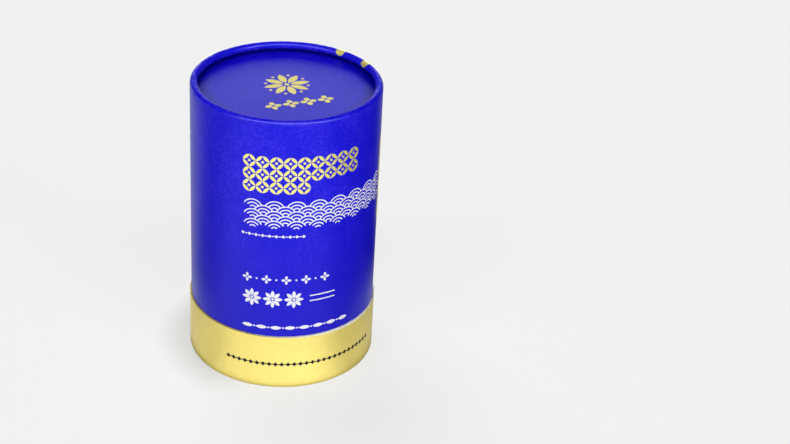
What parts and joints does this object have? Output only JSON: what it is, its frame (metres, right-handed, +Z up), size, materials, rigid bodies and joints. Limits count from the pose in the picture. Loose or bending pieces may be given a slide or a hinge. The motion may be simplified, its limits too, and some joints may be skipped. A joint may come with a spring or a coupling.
{
  "type": "round gift tube box",
  "caption": "Round paper gift box: a tall printed lid with a curled rim lifts off an inner neck that stands in a short base.",
  "frame": {"origin": "middle of the foot, on the surface that the box stands on", "axes": "+Z up the tube; the printed front faces -Y"},
  "size_m": [0.0772, 0.0772, 0.1204],
  "materials": {
    "blue_print": "matt laminated print",
    "gold_print": "satin print",
    "white_paper": "uncoated",
    "board": "uncoated"
  },
  "bodies": {
    "base": {"base_tube": "board", "base_wrap": "gold_print", "base_disc": "board", "base_disc_facing": "gold_print", "base_disc_lining": "white_paper", "neck_tube": "board", "neck_wrap": "white_paper", "neck_lining": "white_paper"},
    "lid_core": {"lid_disc": "board", "lid_disc_lining": "white_paper", "lid_lining": "white_paper"},
    "lid_shell": {"lid_tube": "board", "lid_wrap": "blue_print", "lid_disc_facing": "blue_print"}
  },
  "joints": [
    {"name": "lid_lift", "type": "slide", "parent": "base", "child": "lid_core", "axis": [0, 0, 1], "range_m": [0, 0.15]},
    {"name": "lid_turn", "type": "hinge", "parent": "lid_core", "child": "lid_shell", "pos_m": [0, 0, 0.06], "axis": [0, 0, 1], "continuous": true}
  ]
}
